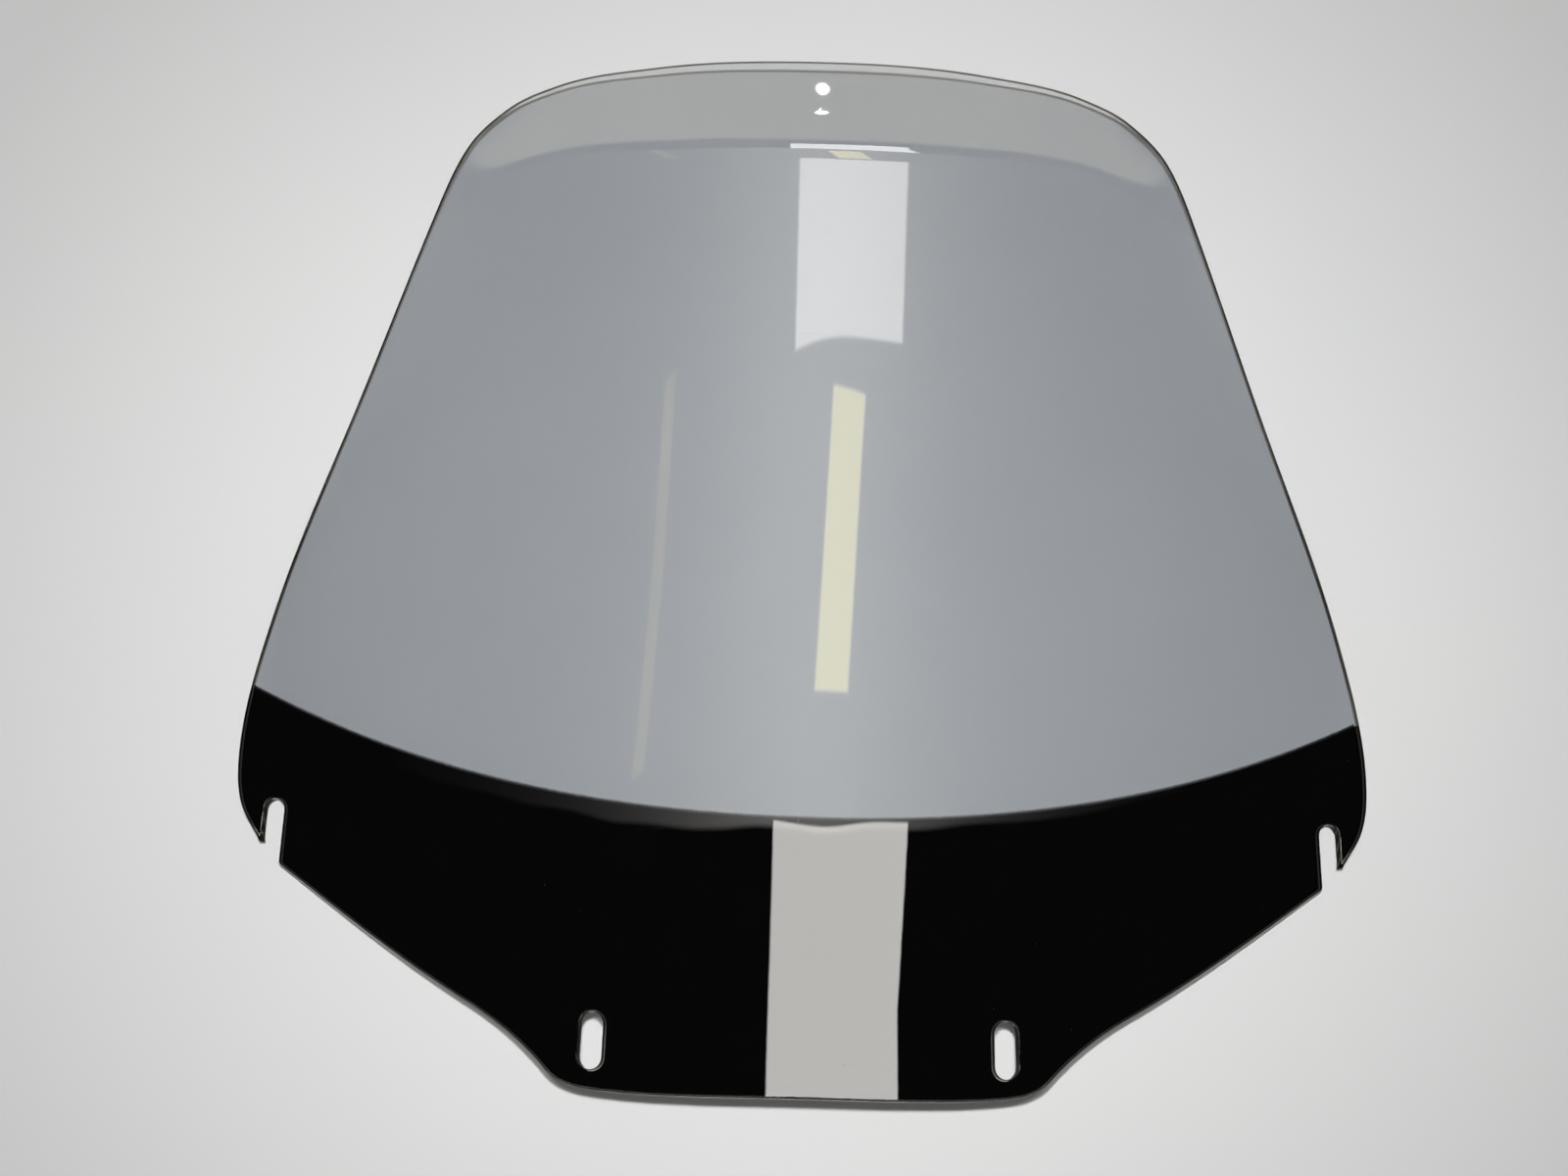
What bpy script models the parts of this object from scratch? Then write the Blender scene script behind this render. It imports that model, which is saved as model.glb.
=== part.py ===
"""Touring motorcycle windshield screen, lying on its side edges with the convex face up.

The screen is one thermoformed sheet of smoke-tinted acrylic with a coat of black paint on the rider's side
of its lower band. It is modelled the way it is made: a flat blank is cut to its outline and slotted, and
then it is formed over a mould surface. Units are metres, +X is the screen's right as seen from the front,
+Y runs up the screen to its top edge, and +Z points out of the front face.
"""
import math

import bmesh
import bpy
import numpy as np

# ---- driving dimensions, metres ----------------------------------------------------------------------------
THICKNESS = 0.00476          # 3/16 in acrylic sheet
COAT_THICKNESS = 0.0003      # black paint layer
COAT_GAP = 0.0003            # clearance between paint and acrylic
COAT_INSET = 0.0008          # the paint stops this far inside the cut edges

SLOT_WIDTH = 0.0127          # 1/2 in screw slots
LOWER_SLOT_LENGTH = 0.0285
LOWER_SLOT_CENTRE = (0.1062, 0.0218)
SIDE_SLOT_TOP = (0.3026, 0.1278)      # centre of the round end of the open slot in each ear
SIDE_SLOT_LENGTH = 0.060              # long enough to run out through the edge

BAND_HEIGHT = 0.1394         # top of the black band on the centre line
BAND_RISE = 0.055            # how much higher the band is at the side edges
BAND_SLOPE = -0.010          # the hand-masked edge runs slightly out of square
BAND_HALF_WIDTH = 0.3275
BAND_POWER = 2.4

# ---- mould surface -------------------------------------------------------------------------------------------
WING_ANGLE = math.radians(17.0)       # fall of the surface far from the centre line
CROWN_WIDTH = 0.090                   # distance over which the crown turns into the wings
RAKE_ANGLE = math.radians(20.0)       # tilt of the surface at the bottom edge
RAKE_RADIUS = 1.6                     # hollow curve from the bottom edge to the lip
LIP_ANGLE = math.radians(18.5)        # flare of the lip along the top edge
LIP_BEND = 0.030                      # width of the bend between the screen and its lip
LIP_START = 0.500                     # where the lip starts on the centre line
LIP_DROP = 0.074                      # how far that line drops at LIP_HALF_WIDTH
LIP_HALF_WIDTH = 0.218
LIP_POWER = 8
LIP_FADE = (0.340, 0.450)             # the lip dies out down the sides between these heights

SEAT_RADIUS = 0.023                   # flat seat for the screw and washer around each slot
SEAT_BLEND = 0.048
SIDE_SEAT_CENTRE = (0.3026, 0.1180)

REST_TILT = math.radians(5.2)         # turn that balances the screen on its side edges

CELL = 0.015                          # size of the facets
BLANK_CELLS_X = 46
BLANK_CELLS_Y = 40
BLANK_BOTTOM = -0.0150

# Right half of the flat outline, from the bottom centre to the top centre: (u, v, heading in degrees).
# A heading of None is a sharp corner.
OUTLINE = [
    (0.0000, 0.0000, 0.0),
    (0.1000, -0.0022, 1.0),
    (0.1300, 0.0058, 44.0),
    (0.1780, 0.0362, 24.0),
    (0.2300, 0.0618, 28.0),
    (0.2957, 0.0980, None),
    (0.3085, 0.1085, None),
    (0.3245, 0.1300, 66.0),
    (0.3294, 0.1640, 91.0),
    (0.3157, 0.2400, 105.0),
    (0.2722, 0.3600, 111.7),
    (0.2242, 0.4800, 113.5),
    (0.2042, 0.5160, 129.3),
    (0.1800, 0.5350, 149.0),
    (0.1500, 0.5460, 165.0),
    (0.0900, 0.5530, 176.0),
    (0.0000, 0.5545, 180.0),
]
OUTLINE_STEPS = 6


# ---- scene -----------------------------------------------------------------------------------------------------
def clear_scene():
    for old in list(bpy.data.objects):
        bpy.data.objects.remove(old, do_unlink=True)


def make_collection(name):
    collection = bpy.data.collections.new(name)
    bpy.context.scene.collection.children.link(collection)
    return collection


def move_to(obj, collection):
    for owner in list(obj.users_collection):
        owner.objects.unlink(obj)
    collection.objects.link(obj)


def principled(name, colour, roughness, transmission=0.0, coat=0.0):
    material = bpy.data.materials.new(name)
    material.use_nodes = True
    shader = material.node_tree.nodes["Principled BSDF"]
    shader.inputs["Base Color"].default_value = (*colour, 1.0)
    shader.inputs["Roughness"].default_value = roughness
    shader.inputs["Metallic"].default_value = 0.0
    shader.inputs["Transmission Weight"].default_value = transmission
    shader.inputs["Coat Weight"].default_value = coat
    material.diffuse_color = (*colour, 1.0)
    return material


# ---- flat shapes -------------------------------------------------------------------------------------------------
def full_outline(inset=0.0):
    """Anchors of the closed outline, anticlockwise, as (u, v, heading). The left half mirrors the right."""
    right = OUTLINE[:-1]
    left = [(-u, v, None if heading is None else 360.0 - heading) for u, v, heading in reversed(OUTLINE[1:])]
    anchors = right + left
    if inset == 0.0:
        return anchors
    moved = []
    for index, (u, v, heading) in enumerate(anchors):
        if heading is None:
            before = anchors[index - 1]
            after = anchors[(index + 1) % len(anchors)]
            angle = math.atan2(after[1] - before[1], after[0] - before[0])
        else:
            angle = math.radians(heading)
        moved.append((u - inset * math.sin(angle), v + inset * math.cos(angle), heading))
    return moved


def outline_prism(name, anchors, depth, collection):
    """A closed prism over the outline, from a filled 2D Bezier curve."""
    curve = bpy.data.curves.new(name, "CURVE")
    curve.dimensions = "2D"
    curve.fill_mode = "BOTH"
    curve.extrude = depth / 2.0
    curve.resolution_u = OUTLINE_STEPS
    spline = curve.splines.new("BEZIER")
    spline.bezier_points.add(len(anchors) - 1)
    spline.use_cyclic_u = True
    for index, (u, v, heading) in enumerate(anchors):
        before = anchors[index - 1]
        after = anchors[(index + 1) % len(anchors)]
        reach_back = math.hypot(u - before[0], v - before[1]) / 3.0
        reach_on = math.hypot(after[0] - u, after[1] - v) / 3.0
        if heading is None:
            back = math.atan2(v - before[1], u - before[0])
            ahead = math.atan2(after[1] - v, after[0] - u)
        else:
            back = math.radians(heading)
            ahead = back
        point = spline.bezier_points[index]
        point.handle_left_type = "FREE"
        point.handle_right_type = "FREE"
        point.co = (u, v, 0.0)
        point.handle_left = (u - reach_back * math.cos(back), v - reach_back * math.sin(back), 0.0)
        point.handle_right = (u + reach_on * math.cos(ahead), v + reach_on * math.sin(ahead), 0.0)
    return curve_to_cutter(name, curve, collection)


def polygon_prism(name, points, depth, collection):
    """A closed prism over a plain polygon."""
    curve = bpy.data.curves.new(name, "CURVE")
    curve.dimensions = "2D"
    curve.fill_mode = "BOTH"
    curve.extrude = depth / 2.0
    spline = curve.splines.new("POLY")
    spline.points.add(len(points) - 1)
    spline.use_cyclic_u = True
    for point, (u, v) in zip(spline.points, points):
        point.co = (u, v, 0.0, 1.0)
    return curve_to_cutter(name, curve, collection)


def curve_to_cutter(name, curve, collection):
    """Turn a filled curve into a welded, closed cutter mesh."""
    source = bpy.data.objects.new(name + "_curve", curve)
    collection.objects.link(source)
    evaluated = source.evaluated_get(bpy.context.evaluated_depsgraph_get())
    mesh = bpy.data.meshes.new_from_object(evaluated)
    work = bmesh.new()
    work.from_mesh(mesh)
    bmesh.ops.remove_doubles(work, verts=work.verts, dist=0.00001)
    bmesh.ops.recalc_face_normals(work, faces=work.faces)
    work.to_mesh(mesh)
    work.free()
    cutter = bpy.data.objects.new(name, mesh)
    cutter.matrix_world = source.matrix_world.copy()
    bpy.data.objects.remove(source, do_unlink=True)
    collection.objects.link(cutter)
    cutter.hide_render = True
    cutter.display_type = "WIRE"
    return cutter


def slot_points(top, length, radius):
    """An upright slot with round ends. top is the centre of its upper end, length is from end to end."""
    steps = 10
    bottom = (top[0], top[1] - (length - SLOT_WIDTH))
    arc = [math.pi * step / steps for step in range(steps + 1)]
    upper = [(top[0] + radius * math.cos(a), top[1] + radius * math.sin(a)) for a in arc]
    lower = [(bottom[0] - radius * math.cos(a), bottom[1] - radius * math.sin(a)) for a in arc]
    return upper + lower


def slot_places():
    """The upper end and the length of each of the four slots."""
    half_run = (LOWER_SLOT_LENGTH - SLOT_WIDTH) / 2.0
    for side in (-1.0, 1.0):
        yield (side * LOWER_SLOT_CENTRE[0], LOWER_SLOT_CENTRE[1] + half_run), LOWER_SLOT_LENGTH
        yield (side * SIDE_SLOT_TOP[0], SIDE_SLOT_TOP[1]), SIDE_SLOT_LENGTH


def band_points():
    """The black band's area: its hollow upper edge, closed below the screen."""
    reach = BAND_HALF_WIDTH + 0.02
    steps = 24
    upper = []
    for step in range(steps + 1):
        u = reach * (1.0 - 2.0 * step / steps)
        rise = BAND_RISE * (abs(u) / BAND_HALF_WIDTH) ** BAND_POWER
        upper.append((u, BAND_HEIGHT + BAND_SLOPE * u + rise))
    return [(-reach, BLANK_BOTTOM), (reach, BLANK_BOTTOM)] + upper


# ---- mould surface ---------------------------------------------------------------------------------------------
def cross_section(u):
    """Arc length from the centre line to (x, fall): a round crown that runs out into flat wings."""
    arc = np.linspace(0.0, 0.42, 841)
    angle = WING_ANGLE * arc / np.hypot(arc, CROWN_WIDTH)
    middle = 0.5 * (angle[1:] + angle[:-1])
    step = arc[1] - arc[0]
    across = np.concatenate(([0.0], np.cumsum(np.cos(middle)) * step))
    fall = np.concatenate(([0.0], np.cumsum(np.sin(middle)) * step))
    return np.sign(u) * np.interp(np.abs(u), arc, across), np.interp(np.abs(u), arc, fall)


def smooth(value, low, high):
    share = np.clip((value - low) / (high - low), 0.0, 1.0)
    return share * share * (3.0 - 2.0 * share)


def lip_rise(u, v):
    """How far the flared lip lifts the sheet beyond the line where the lip starts."""
    reach = np.abs(u) / LIP_HALF_WIDTH
    start = LIP_START - LIP_DROP * reach ** LIP_POWER
    slope = LIP_DROP * LIP_POWER * reach ** (LIP_POWER - 1) / LIP_HALF_WIDTH
    beyond = np.maximum((v - start) / np.hypot(1.0, slope), 0.0)
    share = np.minimum(beyond / LIP_BEND, 1.0)
    bend = LIP_BEND * (share ** 3 - 0.5 * share ** 4)
    straight = np.maximum(beyond - LIP_BEND, 0.0)
    return math.tan(LIP_ANGLE) * (bend + straight) * smooth(v, *LIP_FADE)


def free_surface(u, v):
    """The rider's side of the sheet at flat position (u, v), before the seats are flattened."""
    x, fall = cross_section(u)
    tilt = RAKE_ANGLE - v / RAKE_RADIUS
    y = RAKE_RADIUS * (math.sin(RAKE_ANGLE) - np.sin(tilt))
    z = RAKE_RADIUS * (math.cos(RAKE_ANGLE) - np.cos(tilt)) - fall + lip_rise(u, v)
    return np.stack([x, y, z], axis=-1)


def seat_centres():
    for side in (-1.0, 1.0):
        for u, v in (LOWER_SLOT_CENTRE, SIDE_SEAT_CENTRE):
            yield side * u, v


def mould_surface(u, v):
    """The rider's side of the sheet, with a truly flat seat around each slot."""
    points = free_surface(u, v)
    step = 0.001
    for cu, cv in seat_centres():
        pair_u = np.array([cu - step, cu + step])
        pair_v = np.array([cv - step, cv + step])
        ends_u = free_surface(pair_u, np.array([cv, cv]))
        ends_v = free_surface(np.array([cu, cu]), pair_v)
        along_u = (ends_u[1] - ends_u[0]) / (2.0 * step)
        along_v = (ends_v[1] - ends_v[0]) / (2.0 * step)
        centre = free_surface(np.array([cu]), np.array([cv]))[0]
        flat = centre + (u - cu)[:, None] * along_u + (v - cv)[:, None] * along_v
        share = 1.0 - smooth(np.hypot(u - cu, v - cv), SEAT_RADIUS, SEAT_BLEND)
        points = points + share[:, None] * (flat - points)
    return points


def form(mesh):
    """Wrap a flat mesh over the mould. Its own z becomes the height above the rider's side."""
    count = len(mesh.vertices)
    flat = np.empty(count * 3, dtype=np.float32)
    mesh.vertices.foreach_get("co", flat)
    flat = flat.reshape(count, 3).astype(np.float64)
    u, v, height = flat[:, 0], flat[:, 1], flat[:, 2]
    step = 0.0005
    along_u = mould_surface(u + step, v) - mould_surface(u - step, v)
    along_v = mould_surface(u, v + step) - mould_surface(u, v - step)
    normal = np.cross(along_u, along_v)
    normal /= np.linalg.norm(normal, axis=1)[:, None]
    formed = mould_surface(u, v) + height[:, None] * normal
    lie = np.array([
        [1.0, 0.0, 0.0],
        [0.0, math.cos(REST_TILT), -math.sin(REST_TILT)],
        [0.0, math.sin(REST_TILT), math.cos(REST_TILT)],
    ])
    formed = formed @ lie.T
    mesh.vertices.foreach_set("co", formed.astype(np.float32).ravel())
    mesh.update()
    return formed


# ---- sub-parts -----------------------------------------------------------------------------------------------------
def add_boolean(obj, operation, cutter):
    modifier = obj.modifiers.new(cutter.name, "BOOLEAN")
    modifier.operation = operation
    modifier.object = cutter
    modifier.solver = "EXACT"


def flat_blank(name, thickness, base, collection):
    """A flat slab of square cells, its lower face at height base."""
    bpy.ops.mesh.primitive_grid_add(x_subdivisions=BLANK_CELLS_X, y_subdivisions=BLANK_CELLS_Y, size=1.0)
    blank = bpy.context.object
    blank.name = name
    move_to(blank, collection)
    for vertex in blank.data.vertices:
        vertex.co.x *= BLANK_CELLS_X * CELL
        vertex.co.y = BLANK_BOTTOM + (vertex.co.y + 0.5) * BLANK_CELLS_Y * CELL
        vertex.co.z = base
    shell = blank.modifiers.new("thickness", "SOLIDIFY")
    shell.thickness = thickness
    shell.offset = 1.0
    return blank


def bake(obj):
    """Apply the cuts, form the flat mesh over the mould and split its faces into triangles."""
    evaluated = obj.evaluated_get(bpy.context.evaluated_depsgraph_get())
    mesh = bpy.data.meshes.new_from_object(evaluated)
    obj.modifiers.clear()
    obj.data = mesh
    work = bmesh.new()
    work.from_mesh(mesh)
    bmesh.ops.remove_doubles(work, verts=work.verts, dist=0.00001)
    bmesh.ops.dissolve_degenerate(work, edges=work.edges, dist=0.00001)
    work.to_mesh(mesh)
    work.free()
    points = form(mesh)
    work = bmesh.new()
    work.from_mesh(mesh)
    bmesh.ops.triangulate(work, faces=work.faces)
    bmesh.ops.recalc_face_normals(work, faces=work.faces)
    work.to_mesh(mesh)
    work.free()
    mesh.shade_smooth()
    mesh.set_sharp_from_angle(angle=math.radians(30.0))
    return points


def make_screen_sheet(parts, cutters):
    sheet = flat_blank("screen_sheet", THICKNESS, 0.0, parts)
    depth = THICKNESS * 4.0
    add_boolean(sheet, "INTERSECT", outline_prism("sheet_outline", full_outline(), depth, cutters))
    for number, (top, length) in enumerate(slot_places(), start=1):
        points = slot_points(top, length, SLOT_WIDTH / 2.0)
        add_boolean(sheet, "DIFFERENCE", polygon_prism(f"slot_{number}", points, depth, cutters))
    sheet.data.materials.append(principled("smoke_acrylic", (0.28, 0.30, 0.32), 0.04, transmission=0.85))
    return sheet


def make_blackout_coat(parts, cutters):
    base = -COAT_GAP - COAT_THICKNESS
    coat = flat_blank("blackout_coat", COAT_THICKNESS, base, parts)
    depth = THICKNESS * 4.0
    outline = outline_prism("coat_outline", full_outline(COAT_INSET), depth, cutters)
    add_boolean(coat, "INTERSECT", outline)
    add_boolean(coat, "INTERSECT", polygon_prism("coat_band", band_points(), depth, cutters))
    for number, (top, length) in enumerate(slot_places(), start=1):
        points = slot_points(top, length, SLOT_WIDTH / 2.0 + COAT_INSET)
        add_boolean(coat, "DIFFERENCE", polygon_prism(f"coat_slot_{number}", points, depth, cutters))
    coat.data.materials.append(principled("black_paint", (0.008, 0.008, 0.009), 0.30))
    return coat


def main():
    clear_scene()
    parts = make_collection("windshield_screen")
    cutters = make_collection("cutters")
    sheet = make_screen_sheet(parts, cutters)
    coat = make_blackout_coat(parts, cutters)
    points = bake(sheet)
    bake(coat)
    middle = 0.5 * (points[:, 1].min() + points[:, 1].max())
    for obj in (sheet, coat):
        obj.location = (0.0, -middle, -points[:, 2].min())
    bpy.context.view_layer.update()


main()
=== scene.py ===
"""Looks for a touring motorcycle windshield screen: a formed sheet of smoke acrylic with a black lower band.

Everything is in metres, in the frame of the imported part: +X is the screen's right from the front, +Y runs up
to its flared top lip and +Z comes out of its convex front face. Flat shapes are drawn in u, across the sheet,
and v, up it, before the sheet is formed.
"""

import math

import bpy
import numpy as np
from mathutils import Matrix, Vector
from mathutils.geometry import delaunay_2d_cdt


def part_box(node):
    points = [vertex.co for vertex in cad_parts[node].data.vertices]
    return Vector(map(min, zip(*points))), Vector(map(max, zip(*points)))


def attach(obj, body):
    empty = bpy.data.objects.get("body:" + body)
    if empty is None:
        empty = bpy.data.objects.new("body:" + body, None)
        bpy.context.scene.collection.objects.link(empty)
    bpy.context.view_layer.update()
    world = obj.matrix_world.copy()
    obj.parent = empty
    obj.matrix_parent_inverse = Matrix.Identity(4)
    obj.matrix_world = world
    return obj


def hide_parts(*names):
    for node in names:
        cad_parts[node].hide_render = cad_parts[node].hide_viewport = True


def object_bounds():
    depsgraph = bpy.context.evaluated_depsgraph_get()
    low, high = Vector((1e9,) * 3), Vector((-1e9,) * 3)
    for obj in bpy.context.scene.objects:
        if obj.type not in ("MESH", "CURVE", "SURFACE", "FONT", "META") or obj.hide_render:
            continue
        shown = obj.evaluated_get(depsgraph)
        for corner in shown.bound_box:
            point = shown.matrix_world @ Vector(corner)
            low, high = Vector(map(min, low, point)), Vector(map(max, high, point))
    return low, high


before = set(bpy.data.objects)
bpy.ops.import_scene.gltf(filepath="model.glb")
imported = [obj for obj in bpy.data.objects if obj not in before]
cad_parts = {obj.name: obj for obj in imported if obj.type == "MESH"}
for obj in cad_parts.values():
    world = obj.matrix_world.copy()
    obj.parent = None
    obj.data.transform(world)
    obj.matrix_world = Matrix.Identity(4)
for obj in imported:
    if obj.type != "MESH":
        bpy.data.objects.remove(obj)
cad_low, cad_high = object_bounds()

# ---- the sheet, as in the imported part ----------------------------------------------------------
THICKNESS = 0.00476
SLOT_RADIUS = 0.00635
LOWER_SLOT_LENGTH = 0.0285
LOWER_SLOT_CENTRE = (0.1062, 0.0218)
SIDE_SLOT_TOP = (0.3026, 0.1278)
SIDE_SEAT_CENTRE = (0.3026, 0.1180)

BAND_HEIGHT, BAND_RISE, BAND_SLOPE = 0.1394, 0.055, -0.010
BAND_HALF_WIDTH, BAND_POWER = 0.3275, 2.4

WING_ANGLE = math.radians(17.0)
CROWN_WIDTH = 0.090
SECTION_ARC, SECTION_POINTS = 0.42, 841
RAKE_ANGLE = math.radians(20.0)
RAKE_RADIUS = 1.6
LIP_ANGLE = math.radians(18.5)
LIP_BEND = 0.030
LIP_START, LIP_DROP, LIP_HALF_WIDTH, LIP_POWER = 0.500, 0.074, 0.218, 8
LIP_FADE = (0.340, 0.450)
SEAT_RADIUS, SEAT_BLEND = 0.023, 0.048
SEAT_STEP = 0.001            # for the slopes at a slot's seat
SLOPE_STEP = 0.0008          # for the slopes anywhere else
REST_TILT = math.radians(5.2)
LIE = Matrix.Rotation(REST_TILT, 3, "X")

# Right half of the flat outline up to the ear's open slot, and from there to the top: (u, v, heading in
# degrees).
BELOW_EAR = [
    (0.0000, 0.0000, 0.0),
    (0.1000, -0.0022, 1.0),
    (0.1300, 0.0058, 44.0),
    (0.1780, 0.0362, 24.0),
    (0.2300, 0.0618, 28.0),
    (0.29625, 0.0984, None),
]
ABOVE_EAR = [
    (0.30895, 0.1089, None),
    (0.3245, 0.1300, 66.0),
    (0.3294, 0.1640, 91.0),
    (0.3157, 0.2400, 105.0),
    (0.2722, 0.3600, 111.7),
    (0.2242, 0.4800, 113.5),
    (0.2042, 0.5160, 129.3),
    (0.1800, 0.5350, 149.0),
    (0.1500, 0.5460, 165.0),
    (0.0900, 0.5530, 176.0),
    (0.0000, 0.5545, 180.0),
]

# ---- finish ------------------------------------------------------------------------------------
EDGE_RADIUS = 0.0010         # flame-polished outer edge
SLOT_EDGE_RADIUS = 0.0006
EDGE_ANGLES = (-67.5, -45.0, -22.5, 0.0)     # degrees, up an edge's back half; the front half mirrors them
COAT_TOP, COAT_BOTTOM = -0.00015, -0.00045
COAT_EDGE_RADIUS = 0.00008
COAT_INSET = 0.0008
COAT_POINTS = 220            # along the band's upper edge
BAND_CLEARANCE = 0.0005      # the sheet's edge is followed up to this far below the band's upper edge
FEATHER_WIDTH = 0.0022       # soft upper edge of the sprayed band
FEATHER_OVERLAP = 0.0003     # how far it reaches down behind the band
FEATHER_SHORT = 0.0012       # how far it ends before the band does
FEATHER_THICKNESS, FEATHER_EDGE_RADIUS = 0.00006, 0.00001
FEATHER_POINTS = 230

# ---- mesh --------------------------------------------------------------------------------------
POINT_SPACING = 0.0028       # along an edge
FEWEST_STEPS = 4             # between two anchors of the outline
SIDE_ARC_STEPS, LOWER_ARC_STEPS = 12, 14
GRID_SPACING = 0.0070        # over a face
FEATHER_SPACING = 0.0016
GRID_HALF_WIDTH = 0.33
ROW_SHARE = 0.866            # a row's height, as a share of the spacing
BORDER_GAP = 0.55            # grid points keep this share of the spacing from the border
WELD = 1e-7
BATCH = 200

SHARP_TURN = 25.0            # corners that turn by more degrees are rounded
CORNER_REACH, CORNER_SHARE, CORNER_POINTS = 0.0016, 0.6, 5

LEAST_STRETCH = 0.5          # the way in at a corner is divided by this at least
FACING = -0.2                # two points face each other if the dot product of their ways in is lower
WIDTH_SHARE = 0.30           # an inset takes at most this share of the way to a point it faces
INSET_SLOPE = 0.25           # and grows at most this fast with the distance from a smaller one
SHORTEST_SHARE = 0.25        # and is cut down where it leaves less than this share of a segment
SHRINK, SHRINK_TRIES = 0.8, 40

FRONT, BACK, EDGE = 0, 1, 2  # material slots of a solid


# ---- flat shapes -------------------------------------------------------------------------------
def bezier_run(anchors):
    """Points along a smooth run of anchors, without the last one."""
    points = []
    for start, end in zip(anchors[:-1], anchors[1:]):
        chord = math.hypot(end[0] - start[0], end[1] - start[1])
        straight = math.atan2(end[1] - start[1], end[0] - start[0])
        leave = straight if start[2] is None else math.radians(start[2])
        arrive = straight if end[2] is None else math.radians(end[2])
        reach = chord / 3.0
        a = np.array(start[:2])
        d = np.array(end[:2])
        b = a + reach * np.array([math.cos(leave), math.sin(leave)])
        c = d - reach * np.array([math.cos(arrive), math.sin(arrive)])
        steps = max(FEWEST_STEPS, int(round(chord / POINT_SPACING)))
        for step in range(steps):
            t = step / steps
            near_start = (1 - t) ** 3 * a + 3 * t * (1 - t) ** 2 * b
            points.append(near_start + 3 * t * t * (1 - t) * c + t ** 3 * d)
    return points


def line_run(start, end):
    """Points from start towards end, without the last one."""
    start, end = np.array(start), np.array(end)
    steps = max(1, int(round(np.linalg.norm(end - start) / POINT_SPACING)))
    return [start + (end - start) * step / steps for step in range(steps)]


def arc_run(centre, radius, first, last, steps):
    """Points along an arc between two angles, without the last one."""
    angles = np.linspace(first, last, steps + 1)[:-1]
    return [np.array([centre[0] + radius * math.cos(a), centre[1] + radius * math.sin(a)]) for a in angles]


def ease_corners(points):
    """Round each sharp corner with a short curve."""
    count = len(points)
    eased = []
    for index, here in enumerate(points):
        before, after = points[index - 1], points[(index + 1) % count]
        back, ahead = before - here, after - here
        back_length, ahead_length = np.linalg.norm(back), np.linalg.norm(ahead)
        cosine = np.clip(-np.dot(back, ahead) / (back_length * ahead_length), -1.0, 1.0)
        if math.degrees(math.acos(cosine)) < SHARP_TURN:
            eased.append(here)
            continue
        a = here + back / back_length * min(CORNER_REACH, back_length * CORNER_SHARE)
        c = here + ahead / ahead_length * min(CORNER_REACH, ahead_length * CORNER_SHARE)
        for t in np.linspace(0.0, 1.0, CORNER_POINTS):
            eased.append((1 - t) ** 2 * a + 2 * t * (1 - t) * here + t * t * c)
    return eased


def outline_loop():
    """The whole outline, anticlockwise, with the open slot of each ear."""
    u, v = SIDE_SLOT_TOP
    right = bezier_run(BELOW_EAR)
    right += line_run(BELOW_EAR[-1][:2], (u - SLOT_RADIUS, v))
    right += arc_run((u, v), SLOT_RADIUS, math.pi, 0.0, SIDE_ARC_STEPS)
    right += line_run((u + SLOT_RADIUS, v), ABOVE_EAR[0][:2])
    right += bezier_run(ABOVE_EAR)
    top = np.array(ABOVE_EAR[-1][:2])
    left = [np.array([-p[0], p[1]]) for p in reversed(right[1:])]
    return np.array(ease_corners(right + [top] + left))


def slot_loop(side, radius):
    """A closed lower slot, clockwise."""
    u, v = side * LOWER_SLOT_CENTRE[0], LOWER_SLOT_CENTRE[1]
    run = LOWER_SLOT_LENGTH / 2.0 - SLOT_RADIUS
    points = arc_run((u, v + run), radius, math.pi, 0.0, LOWER_ARC_STEPS)
    points += line_run((u + radius, v + run), (u + radius, v - run))
    points += arc_run((u, v - run), radius, 0.0, -math.pi, LOWER_ARC_STEPS)
    points += line_run((u - radius, v - run), (u - radius, v + run))
    return np.array(points)


def band_edge(u):
    """Height of the black band's upper edge."""
    return BAND_HEIGHT + BAND_SLOPE * u + BAND_RISE * (np.abs(u) / BAND_HALF_WIDTH) ** BAND_POWER


def coat_loop(outline):
    """The black band's outline, and the u where its upper edge ends on the right."""
    edge, _ = pull_in(outline, COAT_INSET)
    below = edge[:, 1] < band_edge(edge[:, 0]) - BAND_CLEARANCE
    start = int(np.argmax(below & ~np.roll(below, 1)))
    walk = np.roll(edge, -start, axis=0)[:int(below.sum())]
    left_end, right_end = walk[0][0], walk[-1][0]
    across = np.linspace(right_end, left_end, COAT_POINTS)
    upper = np.stack([across, band_edge(across)], axis=1)
    return np.concatenate([walk, upper]), right_end


def feather_loop(right_end):
    """A narrow strip along the band's upper edge."""
    reach = right_end - FEATHER_SHORT
    across = np.linspace(-reach, reach, FEATHER_POINTS)
    lower = np.stack([across, band_edge(across) - FEATHER_OVERLAP], axis=1)
    upper = np.stack([across[::-1], band_edge(across[::-1]) + FEATHER_WIDTH], axis=1)
    return np.concatenate([lower, upper])


# ---- insets ------------------------------------------------------------------------------------
def inward(loop):
    """At each point, the way into the material, to the left of the walk, lengthened at corners."""
    before = loop - np.roll(loop, 1, axis=0)
    after = np.roll(loop, -1, axis=0) - loop
    before /= np.linalg.norm(before, axis=1)[:, None]
    after /= np.linalg.norm(after, axis=1)[:, None]
    normal_before = np.stack([-before[:, 1], before[:, 0]], axis=1)
    normal_after = np.stack([-after[:, 1], after[:, 0]], axis=1)
    middle = normal_before + normal_after
    middle /= np.maximum(np.linalg.norm(middle, axis=1), 1e-9)[:, None]
    stretch = np.clip((middle * normal_before).sum(axis=1), LEAST_STRETCH, 1.0)
    return middle / stretch[:, None]


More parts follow.
